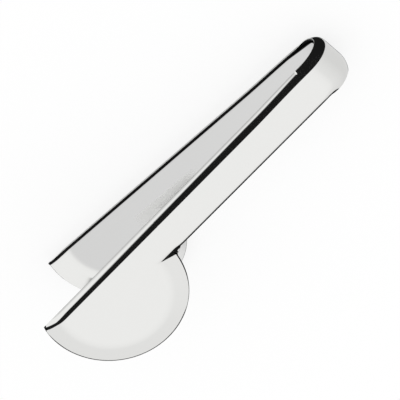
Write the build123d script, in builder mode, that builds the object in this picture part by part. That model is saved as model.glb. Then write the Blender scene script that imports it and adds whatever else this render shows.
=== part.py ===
from build123d import *

import os
from math import cos, radians, sin, tan

# Kitchen tongs pressed from one strip of stainless steel, in millimetres.
# The lower arm lies flat on z = 0 with its bow at +X and its jaw at -X.
# Both arms have their straight edge on the +Y side and their round jaw on the -Y side.

# Driving dimensions
overall_length = 200.0
sheet_thickness = 1.0
strip_width = 20.8
opening_angle = 12.2

# The spring bow that joins the two arms
bow_radius = 13.8
bow_lead = 6.4
bow_edge_turn = 50.0
bow_edge_flank = 1.2

# The edges of the arms, rolled inwards
edge_radius = 3.8
edge_flank = 0.4

# The half disc jaws, with a ring that is dished towards the other jaw
jaw_radius = 38.2
jaw_centre_inset = 13.4
jaw_lead = 6.0
ring_bend_radius = 12.0
ring_slope = 18.0

# How far a cutting or trimming shape passes the metal
overrun = 6.0

# Places along the tongs
edge_depth = edge_radius + edge_flank
half_length = overall_length / 2
bow_centre_x = half_length - bow_radius
jaw_centre_x = jaw_radius - half_length
split_x = jaw_centre_x + jaw_radius + jaw_lead
straight_edge_y = (jaw_centre_inset + jaw_radius) / 2
jaw_centre_y = straight_edge_y - jaw_centre_inset
inner_edge_y = straight_edge_y - strip_width

# The jaw's ring, whose inner corner is as deep as the arms' edges
rim_drop = edge_depth - sheet_thickness * cos(radians(ring_slope))
bend_reach = ring_bend_radius * sin(radians(ring_slope))
bend_drop = ring_bend_radius * (1 - cos(radians(ring_slope)))
ring_width = bend_reach + (rim_drop - bend_drop) / tan(radians(ring_slope))
flat_radius = jaw_radius - ring_width
deep = edge_depth + edge_radius + overrun

# The plane that mirrors one arm into the other
half_angle = radians(opening_angle / 2)
closing_plane = Plane(
    origin=(bow_centre_x, 0, bow_radius),
    x_dir=(cos(half_angle), 0, -sin(half_angle)),
    z_dir=(sin(half_angle), 0, cos(half_angle)),
)
bow_axis = Axis((bow_centre_x, 0, bow_radius), (0, -1, 0))
jaw_axis = Axis((jaw_centre_x, jaw_centre_y, 0), (0, 0, 1))


def across(x):
    """The plane of an arm's cross-section at x, with y along its width and height upwards."""
    return Plane(origin=(x, 0, 0), x_dir=(0, 1, 0), z_dir=(1, 0, 0))


def jaw_profile_plane():
    """The upright plane through the jaw's axis, with the radius along its x."""
    return Plane(origin=(jaw_centre_x, jaw_centre_y, 0), x_dir=(1, 0, 0), z_dir=(0, -1, 0))


def strip_section(turn, flank):
    """The strip's section: a flat web with both edges turned up by an angle, then straight."""
    web = strip_width - 2 * edge_radius
    middle_y = (straight_edge_y + inner_edge_y) / 2
    with BuildSketch() as section:
        with BuildLine():
            floor_line = Line((middle_y, 0), (middle_y + web / 2, 0))
            corner = JernArc(start=floor_line @ 1, tangent=floor_line % 1, radius=edge_radius, arc_size=turn)
            side = PolarLine(start=corner @ 1, length=flank, angle=turn)
            rim = PolarLine(start=side @ 1, length=sheet_thickness, angle=turn + 90)
            back = PolarLine(start=rim @ 1, length=flank, angle=turn + 180)
            inner_radius = edge_radius - sheet_thickness
            inner_corner = JernArc(start=back @ 1, tangent=back % 1, radius=inner_radius, arc_size=-turn)
            Line(inner_corner @ 1, (middle_y, sheet_thickness))
            mirror(about=Plane.YZ.offset(middle_y))
        make_face()
    return section.sketch


def dished_cap(inset):
    """A deep solid under the jaw's face, cut straight and with its straight edge rounded."""
    with BuildPart() as cap:
        with BuildSketch(jaw_profile_plane()):
            with BuildLine():
                face_line = Line((0, inset), (flat_radius, inset))
                bend = JernArc(
                    start=face_line @ 1,
                    tangent=face_line % 1,
                    radius=ring_bend_radius - inset,
                    arc_size=ring_slope,
                )
                slope_line = PolarLine(start=bend @ 1, length=ring_width + overrun, angle=ring_slope)
                Polyline(slope_line @ 1, ((slope_line @ 1).X, deep), (0, deep), (0, inset))
            make_face()
        revolve(axis=jaw_axis)
        split(bisect_by=Plane.XZ.offset(inset - straight_edge_y), keep=Keep.TOP)
        straight_face = cap.faces().sort_by(Axis.Y)[-1]
        lower_chain = straight_face.edges().filter_by(lambda edge: edge.center().Z < deep / 2)
        fillet(lower_chain, edge_radius - inset)
    return cap.part


def arm_block(inset):
    """A deep block as wide as the strip, with its two lower edges rounded."""
    length = split_x - jaw_centre_x
    with BuildPart() as block:
        with BuildSketch(across(jaw_centre_x)):
            with BuildLine():
                low, high = inner_edge_y + inset, straight_edge_y - inset
                Polyline((low, deep), (low, inset), (high, inset), (high, deep), close=True)
            make_face()
        extrude(amount=length)
        lower_edges = block.edges().filter_by(Axis.X).group_by(Axis.Z)[0]
        fillet(lower_edges, edge_radius - inset)
    return block.part


def jaw_trim():
    """All that the press leaves of the jaw: a rim cut square to its ring, and edges of one depth."""
    rim_lean = tan(radians(ring_slope))
    rim_foot = jaw_radius + rim_drop * rim_lean
    rim_head = rim_foot - edge_depth * rim_lean
    with BuildPart() as trim:
        with BuildSketch(jaw_profile_plane()):
            with BuildLine():
                Polyline((0, 0), (rim_foot, 0), (rim_head, edge_depth), (0, edge_depth), close=True)
            make_face()
        revolve(axis=jaw_axis)
        with BuildSketch(across(jaw_centre_x)):
            with BuildLine():
                low, high = inner_edge_y, straight_edge_y
                Polyline((low, 0), (high, 0), (high, edge_depth), (low, edge_depth), close=True)
            make_face()
        extrude(amount=split_x - jaw_centre_x)
    return trim.part


# Spring bow: half of the bend with one straight lead, then its mirror image
with BuildPart() as spring_bow:
    with BuildSketch(across(bow_centre_x)) as bow_section:
        add(strip_section(bow_edge_turn, bow_edge_flank))
    revolve(bow_section.sketch, axis=bow_axis, revolution_arc=90 - opening_angle / 2)
    extrude(bow_section.sketch, amount=-bow_lead)
    mirror(about=closing_plane)

# Lower arm: the channel between the bow and the jaw
with BuildPart() as lower_arm:
    with BuildSketch(across(split_x)):
        add(strip_section(90, edge_flank))
    extrude(amount=bow_centre_x - bow_lead - split_x)

# Lower jaw: the half disc with the end of the arm running into it
with BuildPart() as lower_jaw:
    add(dished_cap(0))
    add(arm_block(0))
    add(dished_cap(sheet_thickness), mode=Mode.SUBTRACT)
    add(arm_block(sheet_thickness), mode=Mode.SUBTRACT)
    add(jaw_trim(), mode=Mode.INTERSECT)

# Upper arm and upper jaw: the same shapes on the other side of the closing plane
with BuildPart() as upper_arm:
    mirror(lower_arm.part, about=closing_plane)

with BuildPart() as upper_jaw:
    mirror(lower_jaw.part, about=closing_plane)

os.makedirs("parts", exist_ok=True)

spring_bow.part.label = "spring_bow"
lower_arm.part.label = "lower_arm"
lower_jaw.part.label = "lower_jaw"
upper_arm.part.label = "upper_arm"
upper_jaw.part.label = "upper_jaw"

for piece in (spring_bow, lower_arm, lower_jaw, upper_arm, upper_jaw):
    export_step(piece.part, f"parts/{piece.part.label}.step")
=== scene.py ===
"""Kitchen tongs pressed from one strip of polished steel, dressed around their CAD frame."""

from math import asin, cos, pi, radians, sin, sqrt, tan

import bmesh
import bpy
import numpy as np
from bpy.props import FloatProperty, FloatVectorProperty, PointerProperty
from mathutils import Matrix, Vector


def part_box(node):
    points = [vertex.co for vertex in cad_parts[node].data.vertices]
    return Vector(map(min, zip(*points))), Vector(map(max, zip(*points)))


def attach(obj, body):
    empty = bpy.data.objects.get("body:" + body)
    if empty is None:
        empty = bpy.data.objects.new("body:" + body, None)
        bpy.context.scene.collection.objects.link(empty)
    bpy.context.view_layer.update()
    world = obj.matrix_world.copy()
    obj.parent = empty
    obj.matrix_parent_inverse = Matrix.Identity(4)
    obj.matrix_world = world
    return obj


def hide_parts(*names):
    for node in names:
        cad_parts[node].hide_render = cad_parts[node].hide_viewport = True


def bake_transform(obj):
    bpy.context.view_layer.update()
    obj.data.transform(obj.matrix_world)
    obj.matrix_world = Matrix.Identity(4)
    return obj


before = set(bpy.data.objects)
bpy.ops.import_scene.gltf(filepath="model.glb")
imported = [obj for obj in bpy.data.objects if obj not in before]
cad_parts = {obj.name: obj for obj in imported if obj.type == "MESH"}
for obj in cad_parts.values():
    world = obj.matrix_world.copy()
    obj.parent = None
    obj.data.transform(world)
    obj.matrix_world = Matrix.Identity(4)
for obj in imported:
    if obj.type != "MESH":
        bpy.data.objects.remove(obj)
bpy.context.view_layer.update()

bl_info = {
    "name": "Kitchen tongs",
    "version": (1, 0, 0),
    "blender": (4, 5, 0),
    "location": "View3D > Sidebar > Tongs",
    "description": "Presses a pair of kitchen tongs from a strip of steel and sets up a studio for them",
    "category": "Object",
}

MM = 0.001

# How finely the flat blanks are divided before they are pressed
ROLL_CUTS = 30
WEB_CUTS = 14
RIM_STEPS = 280
STRAIGHT_EDGE_CUTS = 170
NOTCH_EDGE_CUTS = 16
TIP_ZONE = 1.5 * MM
TIP_CUTS = 4
RING_ROWS = 36
MIDDLE_ROWS = 7
ARM_STEP = 2.0 * MM
BOW_STEP = 0.6 * MM
FINE_BOW_STEP = 0.2 * MM
EDGE_SEGMENTS = 3

# Length of the bow's finely divided ends, as a share of the length over which its edge opens
FINE_BOW_ENDS = 1.2

# Width of the row along the cut edges, as a share of their outer rounding
MARGIN = 1.5

# Where a jaw's coarse middle rows start, as a share of the way from its centre to the fold line
MIDDLE_START = 0.96

# The angles on the disc between which the notch lies, how far its corner is smoothed, as a share
# of the inner edge's radius, and how often
NOTCH_ANGLES = (radians(-40), radians(-4))
NOTCH_REACH = 1 / 3
NOTCH_ROUNDS = 12

# How exactly the press finds a place, and how near two vertices are at the same place or merged
HALVINGS = 40
NUDGE = 0.02 * MM
BLUR_SAMPLES = 17
SAME_PLACE = 0.002 * MM
MERGED = 0.001 * MM

# How far up a face's normal points, from -1 to 1: a cut edge is within the first of level, the
# inner side is above the second, and the outer side with its rounding is below the third
CUT_EDGE = 0.5
INNER_SIDE = 0.99
OUTER_SIDE = -0.1

# How far the fold line moves along the bow on the jaws' round side, as a share of its wider radius
BOW_FOLD_SHIFT = 0.39

# Over which shares of the flat radius and of the disc's radius the valley at the notch fades out
VALLEY_FADES = (1 / 2, 1 / 8)

# The parts of the strip that the materials tell apart, most of them places of painted shade
PLACES = ("Jaw ring", "Rim shade line", "Bright rim", "Straight crease", "Other crease")

# Half the width over which the painted shade inside a jaw gives way to plain steel at its ring
RING_BORDER = 1.7 * MM

# Where the painted dark line of shade along a jaw's rim ends before the notch, and the share of its
# width that it loses near there
NOTCH_GAP = 0.6 * MM
NOTCH_LINE = 0.83

# Where painted shade darkens the inside of the rolled straight edge, as shares of its radius past
# the fold, and where that ends before the jaw's tip
CREASE = (0.52, 0.66)
CREASE_END = (24 * MM, 10 * MM)

# How much earlier that painted shade starts along the bow, as a share of that radius, and the
# lengths past the bow's seam over which that grows
BOW_CREASE = 0.5
BOW_CREASE_RUN = (-14 * MM, 8 * MM)

# The dull corner inside the other rolled edge: where it starts before the notch, where it ends
# on the arm, and its width
DULL_RUN = (25 * MM, 17 * MM)
DULL_END = (18 * MM, 6 * MM)
DULL_WIDTH = 5 * MM

# The width of the polishing lines as a share of their length, how many patches of the soft haze
# there are to a metre, and how much they darken the steel
LINE_STRETCH = 0.02
HAZE_SCALE = 60.0
HAZE_DEPTH = 0.01

# The light tent around the tongs, as the steel mirrors it: each side of a part is an axis, the
# lowest share of a direction along it that still lies in the part, and half the blur there
TENT_OPENING = (((0.18, 1, 0), -0.155, 0.035), ((0.4, 1, 0), -0.165, 0.035))
TENT_WINDOW = (((-1, 0, 0), 0.215, 0.035), ((0.15, 0, -1), -0.66, 0.035))
TENT_FOOT = (
    ((-1, 0, -1), -0.1, 0.035),
    ((0, 0, -1), -0.37, 0.02),
    ((0, -1, -0.3), 0.2, 0.035),
    ((-1, 0, 0), 0.08, 0.035),
)
BRIGHT_WALL = (((0, 1, 0), 0.0, 0.035), ((0, 0, 1), -0.25, 0.05))
SHADED_TABLE = (((0, 1, 0), 0.1, 0.05), ((0, 0, -1), 0.6, 0.1))

# The direction of the tent's roof, and the shares of a direction along it between which the
# roof's edge and the walls get darker
TENT_ROOF = (-0.05, -0.38, 0.924)
ROOF_RIM = (0.82, 0.99)
WALLS = (0.0, 0.9)

# Half the floor's width, and how far it lies below the tongs
FLOOR_HALF = 3.0
FLOOR_GAP = 0.05 * MM


class StripSizes(bpy.types.PropertyGroup):
    """Sizes of the steel strip and of the bow that joins its two arms"""

    thickness: FloatProperty(
        name="Sheet thickness",
        description="Thickness of the steel",
        default=1.0 * MM,
        unit="LENGTH",
    )
    straight_edge_radius: FloatProperty(
        name="Straight edge radius",
        description="Outer radius to which the straight edge is rolled inwards",
        default=4.2 * MM,
        unit="LENGTH",
    )
    inner_edge_radius: FloatProperty(
        name="Inner edge radius",
        description="Outer radius to which the edge on the jaws' round side is rolled inwards",
        default=2.8 * MM,
        unit="LENGTH",
    )
    straight_edge_inset: FloatProperty(
        name="Straight edge inset",
        description="How far rolling draws the straight edge in between the bow and the jaw",
        default=0.5 * MM,
        unit="LENGTH",
    )
    inset_run: FloatProperty(
        name="Inset run",
        description="Length from the bow over which the straight edge is drawn in",
        default=34.0 * MM,
        unit="LENGTH",
    )
    outer_rounding: FloatProperty(
        name="Outer rounding",
        description="Radius of the cut edges on the outer side of the sheet",
        default=0.3 * MM,
        unit="LENGTH",
    )
    inner_rounding: FloatProperty(
        name="Inner rounding",
        description="Radius of the cut edges on the inner side of the sheet",
        default=0.12 * MM,
        unit="LENGTH",
    )
    opening_angle: FloatProperty(
        name="Opening angle",
        description="Angle between the two arms at rest",
        default=radians(12.2),
        unit="ROTATION",
    )
    bow_radius: FloatProperty(
        name="Bow radius",
        description="Outer radius of the bow",
        default=13.8 * MM,
        unit="LENGTH",
    )
    bow_edge_turn: FloatProperty(
        name="Bow edge turn",
        description="How far the edges stay rolled along the bow",
        default=radians(50),
        unit="ROTATION",
    )
    bow_edge_flank: FloatProperty(
        name="Bow edge flank",
        description="Straight part of the opened edges along the bow",
        default=2.5 * MM,
        unit="LENGTH",
    )
    bow_inner_radius: FloatProperty(
        name="Bow inner radius",
        description="Outer radius of the edge along the bow on the jaws' round side",
        default=12.0 * MM,
        unit="LENGTH",
    )
    bow_inner_turn: FloatProperty(
        name="Bow inner turn",
        description="How far the edge on the jaws' round side stays rolled along the bow",
        default=radians(38),
        unit="ROTATION",
    )
    bow_softness: FloatProperty(
        name="Bow softness",
        description="Half the length over which the straight strip eases into the bow",
        default=6.4 * MM,
        unit="LENGTH",
    )
    step_length: FloatProperty(
        name="Step length",
        description="Length over which the upper arm's straight edge opens into the bow's edge",
        default=1.8 * MM,
        unit="LENGTH",
    )
    lower_step_length: FloatProperty(
        name="Lower step length",
        description="The same for the lower arm's straight edge",
        default=12.0 * MM,
        unit="LENGTH",
    )
    inner_step_length: FloatProperty(
        name="Inner step length",
        description="The same for both arms' edges on the jaws' round side",
        default=10.0 * MM,
        unit="LENGTH",
    )


class JawSizes(bpy.types.PropertyGroup):
    """Sizes of the half disc jaws"""

    centre_inset: FloatProperty(
        name="Centre inset",
        description="Distance of the disc's centre from the straight edge",
        default=13.4 * MM,
        unit="LENGTH",
    )
    ring_bend_radius: FloatProperty(
        name="Ring bend",
        description="Radius of the soft bend where the dished ring starts",
        default=18.0 * MM,
        unit="LENGTH",
    )
    ring_slope: FloatProperty(
        name="Ring slope",
        description="Slope of the ring towards the other jaw",
        default=radians(18),
        unit="ROTATION",
    )
    notch_radius: FloatProperty(
        name="Notch radius",
        description="Outer radius of the arm's inner edge where it runs into the ring",
        default=3.8 * MM,
        unit="LENGTH",
    )
    notch_turn: FloatProperty(
        name="Notch turn",
        description="How far the arm's inner edge stays rolled where it runs into the ring",
        default=radians(35),
        unit="ROTATION",
    )
    valley_softness: FloatProperty(
        name="Valley softness",
        description="Half the width over which the arm's edge runs out into the ring",
        default=0.8 * MM,
        unit="LENGTH",
    )


class SteelFinish(bpy.types.PropertyGroup):
    """Colour and polish of the steel, with the painted shade of its insides, creases, rims and cut edges
    """

    colour: FloatVectorProperty(
        name="Steel colour",
        description="Colour of the polished faces",
        subtype="COLOR",
        size=3,
        min=0,
        max=1,
        default=(0.83, 0.83, 0.815),
    )
    shaded_colour: FloatVectorProperty(
        name="Shaded colour",
        description="Colour of the insides of the arms and the bow, which shade each other",
        subtype="COLOR",
        size=3,
        min=0,
        max=1,
        default=(0.69, 0.69, 0.685),
    )
    # Painted shade: the near black colour of the cut edges and of the inside of the rolled straight edge
    edge_shade_colour: FloatVectorProperty(
        name="Edge shade colour",
        description="Colour of the cut edges, and of the inside of the rolled straight edge",
        subtype="COLOR",
        size=3,
        min=0,
        max=1,
        default=(0.012, 0.012, 0.012),
    )
    roughness: FloatProperty(
        name="Roughness",
        description="Roughness of the polished faces",
        default=0.05,
        min=0,
        max=1,
    )
    inner_roughness: FloatProperty(
        name="Inner roughness",
        description="Roughness of the faces that the jaws and arms turn to each other",
        default=0.06,
        min=0,
        max=1,
    )
    cut_roughness: FloatProperty(
        name="Cut edge roughness",
        description="Roughness of the cut edges of the sheet",
        default=0.16,
        min=0,
        max=1,
    )
    # Painted shade: the width of a dark line along the jaws' rims that stands in for the edge's shade
    rim_shade_line: FloatProperty(
        name="Rim shade line",
        description="Width of the dark line of painted shade along the jaws' rims",
        default=0.4 * MM,
        unit="LENGTH",
    )
    line_spacing: FloatProperty(
        name="Polishing lines",
        description="Distance between the fine lines that polishing leaves along the strip",
        default=0.3 * MM,
        unit="LENGTH",
    )
    line_depth: FloatProperty(
        name="Line strength",
        description="How much the polishing lines change the roughness",
        default=0.3,
        min=0,
        max=1,
    )


class StudioLook(bpy.types.PropertyGroup):
    """Colours of the studio"""

    floor: FloatVectorProperty(
        name="Floor",
        description="Colour of the floor",
        subtype="COLOR",
        size=3,
        min=0,
        max=1,
        default=(1.0, 1.0, 1.0),
    )
    floor_glow: FloatProperty(
        name="Floor glow",
        description="How much of the floor is plain white and not lit, which makes the shadow fainter",
        default=0.8,
        min=0,
        max=1,
    )
    dark_level: FloatProperty(
        name="Dark level",
        description="Brightness of the dark room behind the open side of the light tent",
        default=0.011,
        min=0,
        max=1,
    )
    roof_shade: FloatProperty(
        name="Roof shade",
        description="How much darker the edge of the tent's roof is than its middle",
        default=0.09,
        min=0,
        max=1,
    )
    wall_shade: FloatProperty(
        name="Wall shade",
        description="How much darker still the tent's walls get towards the floor",
        default=0.12,
        min=0,
        max=1,
    )
    table_shade: FloatProperty(
        name="Table shade",
        description="How much darker the table is beside the tongs, where it faces the open side",
        default=0.3,
        min=0,
        max=1,
    )


def halve(is_before, low, high):
    """The place between low and high where is_before stops being true, as a number or an array."""
    for _ in range(HALVINGS):
        middle = (low + high) / 2
        before = is_before(middle)
        low, high = np.where(before, middle, low), np.where(before, high, middle)
    return (low + high) / 2


def eased(share):
    """A share from 0 to 1 with a soft start and a soft end."""
    share = np.clip(share, 0, 1)
    return share * share * (3 - 2 * share)


def roll_up(radius, length, turn):
    """How far out and how deep a sheet reaches that is rolled through a turn and then straight."""
    angle = np.minimum(length / radius, turn)
    straight = length - angle * radius
    reach = radius * np.sin(angle) + straight * np.cos(turn)
    height = radius * (1 - np.cos(angle)) + straight * np.sin(turn)
    return reach, height


def averaged(place_at):
    """The mean of the places at shares from -1 to 1, the ones near 0 counting most."""
    shares = np.linspace(-1, 1, BLUR_SAMPLES + 2)[1:-1]
    weights = 1 + np.cos(pi * shares)
    return sum(weight * place_at(share) for share, weight in zip(shares, weights)) / weights.sum()


class Press:
    """The shapes that pressing gives the strip, as places of the lower half in metres.

    A flat blank has x along the strip and y across it. Its rolled edges are laid out flat
    beyond the two fold lines, and its depth goes from the outer face inwards."""

    def __init__(self, strip, jaw):
        arm_low, arm_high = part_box("lower_arm")
        jaw_low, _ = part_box("lower_jaw")
        _, bow_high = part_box("spring_bow")
        self.thickness = strip.thickness
        self.outer_rounding = strip.outer_rounding
        self.inner_rounding = strip.inner_rounding
        self.inset = strip.straight_edge_inset
        self.inset_run = strip.inset_run
        self.roll = strip.straight_edge_radius
        self.inner_roll = strip.inner_edge_radius
        self.depth = arm_high.z
        self.edge_length = self.roll * pi / 2 + self.depth - self.roll
        self.inner_edge_length = self.inner_roll * pi / 2 + self.depth - self.inner_roll
        self.fold_y = arm_high.y - self.roll
        self.inner_fold_y = arm_low.y + self.inner_roll
        self.trim_y = self.fold_y + self.edge_length
        self.inner_trim_y = self.inner_fold_y - self.inner_edge_length
        self.margin = MARGIN * self.outer_rounding
        self.jaw_seam_x = arm_low.x
        self.bow_seam_x = arm_high.x
        self.bow_radius = strip.bow_radius
        self.bow_x = bow_high.x - self.bow_radius
        self.bow_length = self.bow_radius * (pi - strip.opening_angle)
        self.bow_edge_turn = strip.bow_edge_turn
        self.bow_edge_flank = strip.bow_edge_flank
        self.bow_softness = strip.bow_softness
        self.bow_inner_roll = strip.bow_inner_radius
        self.bow_inner_turn = strip.bow_inner_turn
        self.step_length = strip.step_length
        self.lower_step_length = strip.lower_step_length
        self.inner_step_length = strip.inner_step_length
        self.half_angle = strip.opening_angle / 2
        self.disc_y = arm_high.y - jaw.centre_inset
        self.disc_radius = self.disc_y - jaw_low.y
        self.disc_x = jaw_low.x + self.disc_radius
        self.bend_radius = jaw.ring_bend_radius
        self.slope = jaw.ring_slope
        self.bend_reach = self.bend_radius * sin(self.slope)
        bend_drop = self.bend_radius * (1 - cos(self.slope))
        rim_drop = self.depth - self.thickness * cos(self.slope)
        slope_reach = (rim_drop - bend_drop) / tan(self.slope)
        self.flat_radius = self.disc_radius - self.bend_reach - slope_reach
        self.notch_turn = jaw.notch_turn
        self.notch_roll = jaw.notch_radius
        self.softness = jaw.valley_softness
        turned = sqrt(self.disc_radius**2 - (self.disc_y - self.inner_fold_y) ** 2)
        self.notch_x = self.disc_x + turned

    def rolled(self, length, turn=pi / 2):
        """How far out and how deep the rolled straight edge is, at a length from its fold line."""
        return roll_up(self.roll, length, turn)

    def rolled_inner(self, length):
        """The same for the edge on the jaws' round side, rolled through a right angle."""
        return roll_up(self.inner_roll, length, pi / 2)

    def drawn_in(self, x, y):
        """How far the straight side is drawn in at a place of the blank, all across the web."""
        along = eased((self.bow_seam_x - x) / self.inset_run)
        across = np.clip((y - self.inner_fold_y) / (self.fold_y - self.inner_fold_y), 0, 1)
        return self.inset * along * across

    def dish(self, x, y):
        """Depth of the jaw's face: flat in the middle, then bent into a sloping ring."""
        past = np.hypot(x - self.disc_x, y - self.disc_y) - self.flat_radius
        past = np.maximum(past, 0)
        bent = np.minimum(past, self.bend_reach)
        drop = self.bend_radius - np.sqrt(self.bend_radius**2 - bent**2)
        return drop + (past - bent) * tan(self.slope)

    def arm(self, x, y):
        """The arm: a flat web with both edges rolled through a right angle."""
        reach, height = self.rolled(np.maximum(y - self.fold_y, 0))
        inner_reach, inner_height = self.rolled_inner(np.maximum(self.inner_fold_y - y, 0))
        across = np.clip(y, self.inner_fold_y, self.fold_y) + reach - inner_reach
        return np.stack([x, across - self.drawn_in(x, y), height + inner_height], axis=-1)

    def plain_bow(self, x, y):
        """The bow: a lead, the round bend and the other lead, with its edges partly opened."""
        along = x - self.bow_x
        lead = self.bow_x - self.bow_seam_x
        from_lower, from_upper = along + lead, self.bow_length + lead - along
        lower_share, upper_share = from_lower / self.lower_step_length, from_upper / self.step_length
        opened = eased(np.minimum(lower_share, upper_share))
        turn = pi / 2 + (self.bow_edge_turn - pi / 2) * opened
        open_length = self.roll * self.bow_edge_turn + self.bow_edge_flank
        stretch = 1 + (open_length / self.edge_length - 1) * opened
        reach, height = self.rolled(np.maximum(y - self.fold_y, 0) * stretch, turn)
        inner_reach, inner_height = self.rolled_inner(np.maximum(self.inner_fold_y - y, 0))
        opened = eased(np.minimum(from_lower, from_upper) / self.inner_step_length)
        open_fold = self.inner_fold_y + (self.bow_inner_roll - self.inner_roll) * BOW_FOLD_SHIFT
        stretch = self.bow_inner_roll * self.bow_inner_turn / (open_fold - self.inner_trim_y)
        open_length = np.maximum(open_fold - y, 0) * stretch
        open_reach, open_height = roll_up(self.bow_inner_roll, open_length, self.bow_inner_turn)
        open_web = np.clip(open_fold - y, 0, open_fold - self.inner_fold_y)
        inner_reach += (open_reach - open_web - inner_reach) * opened
        inner_height += (open_height - inner_height) * opened
        across = np.clip(y, self.inner_fold_y, self.fold_y) + reach - inner_reach
        depth = height + inner_height
        bent = np.clip(along, 0, self.bow_length)
        angle = bent / self.bow_radius
        radius = self.bow_radius - depth
        ahead = along - bent
        place_x = self.bow_x + radius * np.sin(angle) + ahead * np.cos(angle)
        place_z = self.bow_radius - radius * np.cos(angle) + ahead * np.sin(angle)
        return np.stack([place_x, across, place_z], axis=-1)

    def bow(self, x, y):
        """The bow with its bend eased into the straight strip on both sides."""
        lead = self.bow_x - self.bow_seam_x
        along = x - self.bow_seam_x
        from_seam = np.minimum(along, self.bow_length + 2 * lead - along)
        past_step = np.clip(from_seam / self.step_length - 1, 0, 1)
        blur = np.clip(from_seam, 0, self.bow_softness) * eased(past_step)
        return averaged(lambda share: self.plain_bow(x + share * blur, y))

    def tip_edge(self, x):
        """Fold line, turn and length of the jaw's straight edge, less rolled at the dished tip."""
        dished = np.where(x > self.disc_x, 0, self.dish(x, self.fold_y + self.roll))
        turn = np.arccos(dished / self.roll)
        length = self.roll * turn + self.depth - self.roll
        return self.fold_y + self.roll - self.roll * np.sin(turn), turn, length

    def inner_edge(self, x):
        """Fold line, radius and turn of the arm's inner edge, which opens from the seam to the notch."""
        opened = eased((self.jaw_seam_x - x) / (self.jaw_seam_x - self.notch_x))
        wider = (self.notch_roll - self.inner_roll) * opened
        turn = pi / 2 + (self.notch_turn - pi / 2) * opened
        return self.inner_fold_y + wider, self.inner_roll + wider, turn

    def valley(self, x):
        """Length down the arm's inner edge at which it meets the dished ring, at x."""
        fold, radius, turn = self.inner_edge(x)

        def is_above_ring(length):
            reach, height = roll_up(radius, length, turn)
            return height < self.dish(x, fold - reach)

        met = halve(is_above_ring, np.zeros_like(x), np.full_like(x, 2 * self.inner_edge_length))
        return np.where(x > self.disc_x, met, 0)

    def inner_side(self, x, y, met):
        """The arm's inner edge down to the valley, and the ring beyond it."""
        fold, radius, turn = self.inner_edge(x)
        length = fold - y
        rolled = np.clip(length, 0, met)
        reach, height = roll_up(radius, rolled, turn)
        across = fold - reach - (length - rolled)
        on_dish = (length > met) | (x < self.disc_x)
        return np.stack([across, np.where(on_dish, self.dish(x, across), height)])

    def jaw(self, x, y):
        """The jaw: the half disc with its dished ring, and the arm's end running into it."""
        outer_fold, turn, length = self.tip_edge(x)
        out = np.maximum(y - self.fold_y, 0) / self.edge_length
        reach, height = self.rolled(out * length, turn)
        upper_y = outer_fold + reach
        upper_z = height + np.where(x > self.disc_x, 0, self.dish(x, upper_y))
        met = self.valley(x)
        after_centre = eased((x - self.disc_x) / (self.flat_radius * VALLEY_FADES[0]))
        before_seam = eased((self.jaw_seam_x - x) / (self.disc_radius * VALLEY_FADES[1]))
        blur = self.softness * after_centre * before_seam
        moved = outer_fold - self.fold_y
        web_y = y + moved * np.clip((y - self.disc_y) / (self.fold_y - self.disc_y), 0, 1)
        place = averaged(lambda share: self.inner_side(x, web_y - share * blur, met))
        above = y > self.fold_y
        across = np.where(above, upper_y, place[0]) - self.drawn_in(x, y)
        depth = np.where(above, upper_z, place[1])
        return np.stack([x, across, depth], axis=-1)

    def rim_y(self, x, y):
        """Where a place on the disc's rim lies on the flat blank."""
        outer_fold, turn, length = self.tip_edge(x)
        sine = np.clip((y - outer_fold) / self.roll, 0, np.sin(turn))
        upper = self.fold_y + self.edge_length * self.roll * np.arcsin(sine) / length
        web = (self.fold_y - self.disc_y) / (outer_fold - self.disc_y)
        middle = np.where(y > self.disc_y, self.disc_y + (y - self.disc_y) * web, y)
        met = self.valley(x)
        fold, radius, turn = self.inner_edge(x)
        reach, _ = roll_up(radius, met, turn)
        lower = y - (met - reach)
        is_lower = (x > self.disc_x) & (y < fold)
        return np.where(is_lower, lower, np.where(y > outer_fold, upper, middle))

    def rim_angle(self, blank_y, low, high):
        """Angle on the disc at which its rim meets a straight line of the blank."""

        def is_above(angle):
            x = self.disc_x + self.disc_radius * np.cos(angle)
            y = self.disc_y + self.disc_radius * np.sin(angle)
            return self.rim_y(x, y) > blank_y

        low, high = np.array(low), np.array(high)
        starts_above = is_above(low)
        return float(halve(lambda angle: is_above(angle) == starts_above, low, high))

    def mirror(self):
        """The matrix that turns the lower half into the upper half."""
        origin = Vector((self.bow_x, 0, self.bow_radius))
        normal = Vector((sin(self.half_angle), 0, cos(self.half_angle)))
        return Matrix.Translation(origin) @ Matrix.Scale(-1, 4, normal) @ Matrix.Translation(-origin)


def is_at(vert, places):
    """Whether a vertex lies on one of the cross-sections where two pieces meet."""
    return any(abs(vert.co.x - place) < SAME_PLACE for place in places)


def row_across(bm, x, press):
    """One row of edges across the strip at x, finest over the rolled edges."""
    stations = (
        press.inner_trim_y,
        press.inner_trim_y + press.margin,
        press.inner_fold_y,
        press.fold_y,
        press.trim_y - press.margin,
        press.trim_y,
    )
    verts = [bm.verts.new((x, y, 0)) for y in stations]
    edges = [bm.edges.new(pair) for pair in zip(verts, verts[1:])]
    for edge, cuts in ((edges[1], ROLL_CUTS), (edges[2], WEB_CUTS), (edges[3], ROLL_CUTS)):
        bmesh.ops.subdivide_edges(bm, edges=[edge], cuts=cuts)
    return [edge for edge in bm.edges if all(is_at(vert, (x,)) for vert in edge.verts)]


def extruded(bm, row):
    """Extrudes a row of edges in place, and returns the new vertices and the new row."""
    drawn = bmesh.ops.extrude_edge_only(bm, edges=row)["geom"]
    verts = [part for part in drawn if isinstance(part, bmesh.types.BMVert)]
    ends = set(verts)
    edges = [part for part in drawn if isinstance(part, bmesh.types.BMEdge)]
    return verts, [edge for edge in edges if all(end in ends for end in edge.verts)]


def draw_out(bm, row, places):
    """Extrudes a row of edges along the strip, through each x in turn."""
    x = row[0].verts[0].co.x
    for place in places:
        verts, row = extruded(bm, row)
        bmesh.ops.translate(bm, verts=verts, vec=(place - x, 0, 0))
        x = place


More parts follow.
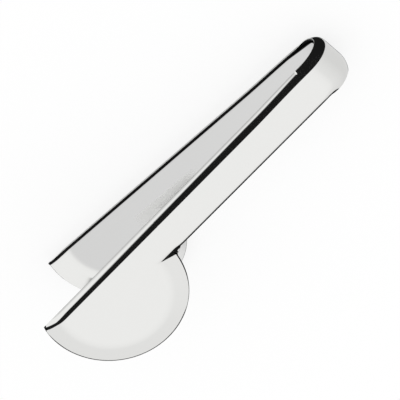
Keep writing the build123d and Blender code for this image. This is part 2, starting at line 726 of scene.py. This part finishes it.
def arm_blank(press):
    """The flat strip of an arm."""
    bm = bmesh.new()
    length = press.bow_seam_x - press.jaw_seam_x
    steps = round(length / ARM_STEP)
    row = row_across(bm, press.jaw_seam_x, press)
    draw_out(bm, row, np.linspace(press.jaw_seam_x, press.bow_seam_x, steps + 1)[1:])
    return bm, (press.jaw_seam_x, press.bow_seam_x)


def bow_blank(press):
    """The flat strip of the bow, with short steps where its edges open."""
    bm = bmesh.new()
    start = press.bow_seam_x
    end = press.bow_x + press.bow_length + press.bow_x - press.bow_seam_x
    zone = FINE_BOW_ENDS * press.step_length
    fine = round(zone / FINE_BOW_STEP)
    coarse = round((end - start - 2 * zone) / BOW_STEP)
    places = np.concatenate(
        [
            np.linspace(start, start + zone, fine + 1)[1:],
            np.linspace(start + zone, end - zone, coarse + 1)[1:],
            np.linspace(end - zone, end, fine + 1)[1:],
        ]
    )
    row = row_across(bm, start, press)
    draw_out(bm, row, places)
    return bm, (start, end)


def jaw_blank(press):
    """The flat half disc, in rows that follow its outline inwards from the rim."""
    bm = bmesh.new()
    centre = Vector((press.disc_x, press.disc_y, 0))
    tip = pi - asin((press.fold_y + press.roll - press.disc_y) / press.disc_radius)
    notch = press.rim_angle(press.inner_trim_y, *NOTCH_ANGLES) + 2 * pi
    first = bm.verts.new(centre + Vector((cos(tip), sin(tip), 0)) * press.disc_radius)
    bmesh.ops.spin(
        bm, geom=[first], cent=centre, axis=(0, 0, 1), angle=notch - tip, steps=RIM_STEPS
    )
    tip_edge_y = press.fold_y + press.roll - TIP_ZONE
    near_tip = [edge for edge in bm.edges if max(vert.co.y for vert in edge.verts) > tip_edge_y]
    bmesh.ops.subdivide_edges(bm, edges=near_tip, cuts=TIP_CUTS)
    rim = np.array([vert.co for vert in bm.verts])
    for vert, y in zip(bm.verts, press.rim_y(rim[:, 0], rim[:, 1])):
        vert.co.y = y
    seam_x = press.jaw_seam_x - ARM_STEP / 2
    row_across(bm, seam_x, press)
    ends = [vert for vert in bm.verts if len(vert.link_edges) == 1]
    ends.sort(key=lambda vert: vert.co.y)
    notch_place = min(ends[:2], key=lambda vert: vert.co.x).co.copy()
    lower, straight = bm.edges.new(ends[:2]), bm.edges.new(ends[2:])
    bmesh.ops.subdivide_edges(bm, edges=[straight], cuts=STRAIGHT_EDGE_CUTS)
    bmesh.ops.subdivide_edges(bm, edges=[lower], cuts=NOTCH_EDGE_CUTS)
    reach = press.inner_roll * NOTCH_REACH
    near_notch = [vert for vert in bm.verts if (vert.co - notch_place).length < reach]
    for _ in range(NOTCH_ROUNDS):
        bmesh.ops.smooth_vert(
            bm, verts=near_notch, factor=0.5, use_axis_x=True, use_axis_y=True, use_axis_z=True
        )
    fold_share = (press.fold_y - press.disc_y) / (press.trim_y - press.disc_y)
    start_share = MIDDLE_START * fold_share
    rim_share = 1 - press.margin / (press.trim_y - press.disc_y)
    shares = [rim_share, *np.linspace(rim_share, start_share, RING_ROWS + 1)[1:]]
    shares += list(np.linspace(start_share, 0, MIDDLE_ROWS + 1)[1:])
    ring, share = list(bm.edges), 1
    space = Matrix.Translation(-centre)
    for next_share in shares:
        verts, ring = extruded(bm, ring)
        scale = next_share / share
        bmesh.ops.scale(bm, verts=verts, vec=(scale, scale, 1), space=space)
        share = next_share
    bmesh.ops.remove_doubles(bm, verts=list(bm.verts), dist=MERGED)
    seam_row = [edge for edge in bm.edges if all(is_at(vert, (seam_x,)) for vert in edge.verts)]
    seam_row = [edge for edge in seam_row if len(edge.link_faces) == 1]
    draw_out(bm, seam_row, [press.jaw_seam_x])
    return bm, (press.jaw_seam_x,)


def make_sheet(bm, seams, press):
    """Gives a flat blank the sheet's thickness and rounds its cut edges, apart from the seams."""
    bmesh.ops.recalc_face_normals(bm, faces=bm.faces)
    thick = bmesh.ops.extrude_face_region(bm, geom=list(bm.faces), use_keep_orig=True)["geom"]
    verts = [part for part in thick if isinstance(part, bmesh.types.BMVert)]
    bmesh.ops.translate(bm, verts=verts, vec=(0, 0, press.thickness))
    bmesh.ops.recalc_face_normals(bm, faces=bm.faces)
    for layer_z, rounding in ((0, press.outer_rounding), (press.thickness, press.inner_rounding)):
        cut = [
            edge
            for edge in bm.edges
            if all(abs(vert.co.z - layer_z) < NUDGE for vert in edge.verts)
            and any(abs(face.normal.z) < CUT_EDGE for face in edge.link_faces)
            and not all(is_at(vert, seams) for vert in edge.verts)
        ]
        rounded = bmesh.ops.bevel(
            bm,
            geom=cut,
            offset=rounding,
            segments=EDGE_SEGMENTS,
            profile=0.5,
            affect="EDGES",
            material=-1,
        )["faces"]
        for edge in {edge for face in rounded for edge in face.edges}:
            if not all(face in rounded for face in edge.link_faces):
                edge.smooth = False


def finish_faces(bm, seams):
    """Marks the cut edges' faces and lays the blank out as the piece's UV map."""
    strip_map = bm.loops.layers.uv.new("strip")
    for face in bm.faces:
        is_seam = all(is_at(vert, seams) for vert in face.verts)
        face.smooth = not is_seam
        is_outer = is_seam or face.normal.z < OUTER_SIDE
        face.material_index = 0 if is_outer else 1 if face.normal.z > INNER_SIDE else 2
        for loop in face.loops:
            loop[strip_map].uv = loop.vert.co.xy
        if is_seam:
            for edge in face.edges:
                edge.smooth = False


def press_down(bm, surface):
    """Moves a flat sheet onto a pressed surface, each vertex at its own depth in the metal."""
    x, y, depth = np.array([vert.co for vert in bm.verts]).T
    along = surface(x + NUDGE, y) - surface(x - NUDGE, y)
    across = surface(x, y + NUDGE) - surface(x, y - NUDGE)
    inward = np.cross(along, across)
    inward /= np.linalg.norm(inward, axis=1, keepdims=True)
    places = surface(x, y) + inward * depth[:, None]
    for vert, place in zip(bm.verts, places):
        vert.co = place


def pressed_piece(name, blank, surface, press, mirrored=False):
    """A finished piece: a flat blank made a sheet, pressed to shape and given its steel."""
    bm, seams = blank
    make_sheet(bm, seams, press)
    finish_faces(bm, seams)
    press_down(bm, surface)
    if mirrored:
        bmesh.ops.transform(bm, matrix=press.mirror(), verts=bm.verts)
    bmesh.ops.recalc_face_normals(bm, faces=bm.faces)
    if bm.calc_volume(signed=True) < 0:
        bmesh.ops.reverse_faces(bm, faces=bm.faces)
    mesh = bpy.data.meshes.new(name)
    bm.to_mesh(mesh)
    bm.free()
    piece = bpy.data.objects.new(name, mesh)
    bpy.context.scene.collection.objects.link(piece)
    for material in steel_materials():
        mesh.materials.append(material)
    piece.visible_glossy = False
    return piece


def press_of(context):
    """The press, set to the sizes in the sidebar."""
    return Press(context.scene.tongs_strip, context.scene.tongs_jaw)


def plug(tree, socket, value):
    """Sets an input socket to a value, or links it from another node's socket."""
    if isinstance(value, bpy.types.NodeSocket):
        tree.links.new(value, socket)
    else:
        socket.default_value = value


def linked(tree, kind, **inputs):
    """A new node with its named inputs set or linked."""
    node = tree.nodes.new(kind)
    for name, value in inputs.items():
        plug(tree, node.inputs[name], value)
    return node


def calculated(tree, operation, *values):
    """The output of a Math node."""
    node = tree.nodes.new("ShaderNodeMath")
    node.operation = operation
    for socket, value in zip(node.inputs, values):
        plug(tree, socket, value)
    return node.outputs[0]


def product(tree, *values):
    """The output of the Math nodes that multiply all the values."""
    whole = values[0]
    for value in values[1:]:
        whole = calculated(tree, "MULTIPLY", whole, value)
    return whole


def stepped(tree, value, low, high, interpolation="SMOOTHSTEP"):
    """The output of a Map Range node that rises from 0 to 1 between low and high."""
    node = linked(tree, "ShaderNodeMapRange", Value=value)
    node.interpolation_type = interpolation
    node.inputs["From Min"].default_value = low
    node.inputs["From Max"].default_value = high
    return node.outputs["Result"]


def vector_math(tree, operation, first, second):
    """The outputs of a Vector Math node."""
    node = tree.nodes.new("ShaderNodeVectorMath")
    node.operation = operation
    plug(tree, node.inputs[0], first)
    plug(tree, node.inputs[1], second)
    return node.outputs


def along_axis(tree, direction, axis):
    """The dot product of a direction and an axis."""
    return vector_math(tree, "DOT_PRODUCT", direction, axis)["Value"]


def new_group(name, inputs, outputs):
    """A new node group with its sockets, its input node's outputs and its output node's inputs."""
    tree = bpy.data.node_groups.new(name, "ShaderNodeTree")
    for socket_name, kind in inputs:
        tree.interface.new_socket(socket_name, in_out="INPUT", socket_type=kind)
    for socket_name, kind in outputs:
        tree.interface.new_socket(socket_name, in_out="OUTPUT", socket_type=kind)
    return tree, tree.nodes.new("NodeGroupInput").outputs, tree.nodes.new("NodeGroupOutput").inputs


def strip_places(press, finish):
    """A node group that finds the parts of the pressed strip on its flat map, most of them places of
    painted shade.
    """
    outputs = [(name, "NodeSocketFloat") for name in PLACES]
    tree, given, found = new_group("Strip places", [("Strip map", "NodeSocketVector")], outputs)
    place = given["Strip map"]
    radius = vector_math(tree, "DISTANCE", place, (press.disc_x, press.disc_y, 0))["Value"]
    x = along_axis(tree, place, (1, 0, 0))
    y = along_axis(tree, place, (0, 1, 0))
    before_centre = calculated(tree, "LESS_THAN", x, press.disc_x)
    beside_arm = calculated(tree, "LESS_THAN", y, press.inner_fold_y)
    off_arm = calculated(tree, "MAXIMUM", before_centre, beside_arm)
    # The insides' painted shade gives way to plain steel on the jaw's ring, on the tip's side of the
    # disc
    ring = stepped(tree, radius, press.flat_radius - RING_BORDER, press.flat_radius + RING_BORDER)
    lit_end = stepped(tree, x, press.disc_x + press.flat_radius, press.disc_x)
    plug(tree, found["Jaw ring"], product(tree, ring, off_arm, lit_end))
    # The jaws' rims get a painted dark line of shade, narrower near the notch
    near_notch = stepped(tree, x, *(press.notch_x - length for length in DULL_RUN))
    rim_start = press.disc_radius - press.outer_rounding - finish.rim_shade_line
    rim_start = calculated(tree, "MULTIPLY_ADD", near_notch, finish.rim_shade_line * NOTCH_LINE, rim_start)
    rim = calculated(tree, "GREATER_THAN", radius, rim_start)
    before_notch = calculated(tree, "LESS_THAN", x, press.notch_x - NOTCH_GAP)
    on_jaw = product(tree, off_arm, before_notch)
    plug(tree, found["Rim shade line"], product(tree, rim, on_jaw))
    # The cut edges on the jaws' round side, below the disc's centre, keep the plain steel colour instead
    # of painted shade
    below_centre = calculated(tree, "LESS_THAN", y, press.disc_y)
    plug(tree, found["Bright rim"], product(tree, on_jaw, below_centre))
    # The inside of the rolled straight edge gets painted shade, which starts earlier along the bow
    on_bow = stepped(tree, x, *(press.bow_seam_x + length for length in BOW_CREASE_RUN))
    height = calculated(tree, "MULTIPLY_ADD", on_bow, press.roll * BOW_CREASE, y)
    crease = stepped(tree, height, *(press.fold_y + press.roll * share for share in CREASE))
    before_tip = stepped(tree, x, *(press.disc_x - length for length in CREASE_END))
    plug(tree, found["Straight crease"], product(tree, crease, before_tip))
    fold_y = press.inner_fold_y
    low_side = stepped(tree, y, fold_y - DULL_WIDTH, fold_y - DULL_WIDTH / 2)
    high_side = stepped(tree, y, fold_y + DULL_WIDTH, fold_y + DULL_WIDTH / 2)
    before_arm = stepped(tree, x, *(press.jaw_seam_x + length for length in DULL_END))
    plug(tree, found["Other crease"], product(tree, low_side, high_side, near_notch, before_arm))
    return tree


def polish_marks(finish):
    """A node group with the fine lines that polishing leaves along the strip, and a soft haze."""
    outputs = [("Lines", "NodeSocketFloat"), ("Haze", "NodeSocketFloat")]
    tree, given, found = new_group("Polish marks", [("Strip map", "NodeSocketVector")], outputs)
    scale = (LINE_STRETCH / finish.line_spacing, 1 / finish.line_spacing, 1)
    stretched = vector_math(tree, "MULTIPLY", given["Strip map"], scale)["Vector"]
    lines = linked(tree, "ShaderNodeTexNoise", Vector=stretched, Scale=1.0, Detail=2.0)
    plug(tree, found["Lines"], lines.outputs["Fac"])
    haze = linked(tree, "ShaderNodeTexNoise", Vector=given["Strip map"], Scale=HAZE_SCALE, Detail=1.0)
    plug(tree, found["Haze"], haze.outputs["Fac"])
    return tree


def mixed(tree, share, first, second):
    """The output of a Mix node between two colours."""
    node = tree.nodes.new("ShaderNodeMix")
    node.data_type = "RGBA"
    plug(tree, node.inputs["Factor"], share)
    for socket, colour in zip([part for part in node.inputs if part.type == "RGBA"], (first, second)):
        plug(tree, socket, colour)
    return [part for part in node.outputs if part.type == "RGBA"][0]


def group_node(tree, group, strip_map):
    """The outputs of a group that reads the strip's map."""
    node = tree.nodes.new("ShaderNodeGroup")
    node.node_tree = group
    plug(tree, node.inputs["Strip map"], strip_map)
    return node.outputs


def steel_materials():
    """The polished steel of the outside, the slightly duller steel inside with its painted shade, and
    that of the cut edges, painted dark with shade.
    """
    names = ("Polished steel", "Inner steel", "Cut steel edge")
    if names[0] not in bpy.data.materials:
        finish = bpy.context.scene.tongs_steel
        places = strip_places(press_of(bpy.context), finish)
        marks = polish_marks(finish)
        colours = (finish.colour, finish.shaded_colour, finish.edge_shade_colour)
        plain, shaded, dark = [(*colour, 1) for colour in colours]
        roughnesses = (finish.roughness, finish.inner_roughness, finish.cut_roughness)
        for name, roughness in zip(names, roughnesses):
            material = bpy.data.materials.new(name)
            material.use_nodes = True
            tree = material.node_tree
            shader = tree.nodes["Principled BSDF"]
            shader.inputs["Metallic"].default_value = 1
            strip_map = tree.nodes.new("ShaderNodeUVMap")
            strip_map.uv_map = "strip"
            strip_map = strip_map.outputs["UV"]
            mark = group_node(tree, marks, strip_map)
            rough = calculated(tree, "SUBTRACT", mark["Lines"], 0.5)
            swing = 2 * finish.line_depth * roughness
            rough = calculated(tree, "MULTIPLY_ADD", rough, swing, roughness)
            plug(tree, shader.inputs["Roughness"], rough)
            place = group_node(tree, places, strip_map)
            # The cut edges are painted near black with shade, apart from the jaws' round side, which
            # keeps the plain steel colour
            if name == "Cut steel edge":
                plug(tree, shader.inputs["Base Color"], mixed(tree, place["Bright rim"], dark, plain))
                continue
            if name == "Polished steel":
                # The outside has the steel's colour, with a painted dark line of shade along the jaws'
                # rims
                colour = mixed(tree, place["Rim shade line"], plain, dark)
            else:
                polished = calculated(tree, "SUBTRACT", 1, place["Other crease"])
                plug(tree, shader.inputs["Metallic"], polished)
                # The insides are painted with shade, and keep the plain steel colour on the jaw ring
                colour = mixed(tree, place["Jaw ring"], shaded, plain)
                colour = mixed(tree, place["Other crease"], colour, plain)
                # The crease of the rolled straight edge is painted near black with shade
                colour = mixed(tree, place["Straight crease"], colour, dark)
            hazed = product(tree, mark["Haze"], HAZE_DEPTH)
            plug(tree, shader.inputs["Base Color"], mixed(tree, hazed, colour, (0, 0, 0, 1)))
    return [bpy.data.materials[name] for name in names]


class TONGS_OT_press_arms(bpy.types.Operator):
    """Press the two straight arms from flat strips"""

    bl_idname = "tongs.press_arms"
    bl_label = "Press Arms"
    bl_options = {"REGISTER", "UNDO"}

    def execute(self, context):
        press = press_of(context)
        for half, mirrored in (("lower", False), ("upper", True)):
            piece = pressed_piece(f"{half}_arm_strip", arm_blank(press), press.arm, press, mirrored)
            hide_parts(f"{half}_arm")
            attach(piece, f"{half}_half")
        return {"FINISHED"}


class TONGS_OT_press_jaws(bpy.types.Operator):
    """Press the two half disc jaws from flat half discs"""

    bl_idname = "tongs.press_jaws"
    bl_label = "Press Jaws"
    bl_options = {"REGISTER", "UNDO"}

    def execute(self, context):
        press = press_of(context)
        for half, mirrored in (("lower", False), ("upper", True)):
            piece = pressed_piece(f"{half}_jaw_dish", jaw_blank(press), press.jaw, press, mirrored)
            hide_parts(f"{half}_jaw")
            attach(piece, f"{half}_half")
        return {"FINISHED"}


class TONGS_OT_bend_bow(bpy.types.Operator):
    """Bend the spring bow that joins the arms"""

    bl_idname = "tongs.bend_bow"
    bl_label = "Bend Bow"
    bl_options = {"REGISTER", "UNDO"}

    def execute(self, context):
        press = press_of(context)
        piece = pressed_piece("spring_bow_bend", bow_blank(press), press.bow, press)
        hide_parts("spring_bow")
        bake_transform(piece)
        return {"FINISHED"}


class TONGS_OT_set_up_studio(bpy.types.Operator):
    """Set up the floor, the light tent and the camera"""

    bl_idname = "tongs.set_up_studio"
    bl_label = "Set Up Studio"
    bl_options = {"REGISTER", "UNDO"}

    def execute(self, context):
        look = context.scene.tongs_studio
        set_up_world(context.scene, look)
        set_up_floor(look)
        set_up_camera(context.scene)
        context.scene.view_settings.view_transform = "Standard"
        return {"FINISHED"}


def inside(tree, direction, sides):
    """Where a direction lies inside all the sides of a part of the tent."""
    shares = [
        stepped(tree, along_axis(tree, direction, axis), lowest - blur, lowest + blur)
        for axis, lowest, blur in sides
    ]
    return product(tree, *shares)


def set_up_world(scene, look):
    """A white surround, which the steel mirrors as a light tent with an open, dark side."""
    world = bpy.data.worlds.new("Light tent")
    scene.world = world
    world.use_nodes = True
    tree = world.node_tree
    direction = tree.nodes.new("ShaderNodeTexCoord").outputs["Generated"]
    dark = inside(tree, direction, TENT_OPENING)
    rest = calculated(tree, "SUBTRACT", 1, inside(tree, direction, TENT_WINDOW))
    dark = product(tree, dark, rest)
    dark = calculated(tree, "MAXIMUM", dark, inside(tree, direction, TENT_FOOT))
    towards_roof = along_axis(tree, direction, TENT_ROOF)
    rest = calculated(tree, "SUBTRACT", 1, inside(tree, direction, BRIGHT_WALL))
    light = 1
    for (low, high), shade in ((ROOF_RIM, look.roof_shade), (WALLS, look.wall_shade)):
        away = calculated(tree, "SUBTRACT", 1, stepped(tree, towards_roof, low, high, "LINEAR"))
        away = product(tree, away, rest)
        light = calculated(tree, "MULTIPLY_ADD", away, -shade, light)
    shaded = inside(tree, direction, SHADED_TABLE)
    light = calculated(tree, "MULTIPLY_ADD", shaded, -look.table_shade, light)
    tent = linked(tree, "ShaderNodeMix", Factor=dark, A=light, B=look.dark_level).outputs[0]
    is_mirrored = tree.nodes.new("ShaderNodeLightPath").outputs["Is Glossy Ray"]
    seen = linked(tree, "ShaderNodeMix", Factor=is_mirrored, A=1.0, B=tent).outputs[0]
    plug(tree, tree.nodes["Background"].inputs["Color"], seen)


def panel(name, corners, material):
    """A flat stage panel through four corners."""
    bm = bmesh.new()
    bm.faces.new([bm.verts.new(corner) for corner in corners])
    mesh = bpy.data.meshes.new(name)
    bm.to_mesh(mesh)
    bm.free()
    mesh.materials.append(material)
    piece = bpy.data.objects.new(name, mesh)
    bpy.context.scene.collection.objects.link(piece)
    return piece


def set_up_floor(look):
    """A wide white floor, which keeps a faint shadow of the tongs."""
    material = bpy.data.materials.new("White floor")
    material.use_nodes = True
    tree = material.node_tree
    tree.nodes.clear()
    lit = linked(tree, "ShaderNodeBsdfDiffuse", Color=(*look.floor, 1))
    plain = linked(tree, "ShaderNodeEmission", Color=(1, 1, 1, 1), Strength=1.0)
    is_seen = tree.nodes.new("ShaderNodeLightPath").outputs["Is Camera Ray"]
    glow = product(tree, is_seen, look.floor_glow)
    mix = linked(tree, "ShaderNodeMixShader", Fac=glow)
    tree.links.new(lit.outputs[0], mix.inputs[1])
    tree.links.new(plain.outputs[0], mix.inputs[2])
    output = tree.nodes.new("ShaderNodeOutputMaterial")
    tree.links.new(mix.outputs[0], output.inputs["Surface"])
    signs = ((-1, -1), (1, -1), (1, 1), (-1, 1))
    corners = [(x * FLOOR_HALF, y * FLOOR_HALF, -FLOOR_GAP) for x, y in signs]
    floor = panel("floor", corners, material)
    floor.visible_glossy = False


def set_up_camera(scene):
    """The camera, at the side of the straight edges and above, turned as the view shows the tongs."""
    azimuth, elevation, roll = radians(39.96), radians(54.53), radians(184.24)
    distance = 933.8 * MM
    shift_right, shift_up = 5.77 * MM, -3.28 * MM
    target = Vector((0, 0, 25 * MM))
    back = Vector((cos(elevation) * cos(azimuth), cos(elevation) * sin(azimuth), sin(elevation)))
    level_right = (-back).cross(Vector((0, 0, 1))).normalized()
    level_up = level_right.cross(-back)
    right = level_right * cos(roll) + level_up * sin(roll)
    up = level_up * cos(roll) - level_right * sin(roll)
    place = target + back * distance - right * shift_right - up * shift_up
    data = bpy.data.cameras.new("camera")
    data.sensor_width = 36
    data.lens = 171
    camera = bpy.data.objects.new("camera", data)
    scene.collection.objects.link(camera)
    axes = Matrix((right, up, back)).transposed().to_4x4()
    camera.matrix_world = Matrix.Translation(place) @ axes
    scene.camera = camera


class TONGS_PT_sidebar(bpy.types.Panel):
    """Sizes, finish and building steps of the tongs"""

    bl_idname = "TONGS_PT_sidebar"
    bl_label = "Kitchen Tongs"
    bl_space_type = "VIEW_3D"
    bl_region_type = "UI"
    bl_category = "Tongs"

    def draw(self, context):
        for group_name in GROUPS:
            group = getattr(context.scene, group_name)
            box = self.layout.box()
            for name in group.__annotations__:
                box.prop(group, name)
        for step in STEPS:
            self.layout.operator(step.bl_idname)


GROUPS = {
    "tongs_strip": StripSizes,
    "tongs_jaw": JawSizes,
    "tongs_steel": SteelFinish,
    "tongs_studio": StudioLook,
}
STEPS = (TONGS_OT_press_arms, TONGS_OT_press_jaws, TONGS_OT_bend_bow, TONGS_OT_set_up_studio)
CLASSES = (*GROUPS.values(), *STEPS, TONGS_PT_sidebar)


def register():
    for kind in CLASSES:
        bpy.utils.register_class(kind)
    for name, kind in GROUPS.items():
        setattr(bpy.types.Scene, name, PointerProperty(type=kind))


def unregister():
    for name in GROUPS:
        delattr(bpy.types.Scene, name)
    for kind in reversed(CLASSES):
        bpy.utils.unregister_class(kind)


def main():
    """Registers the classes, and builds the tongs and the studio."""
    register()
    bpy.ops.tongs.press_arms()
    bpy.ops.tongs.press_jaws()
    bpy.ops.tongs.bend_bow()
    bpy.ops.tongs.set_up_studio()


if __name__ == "__main__":
    main()
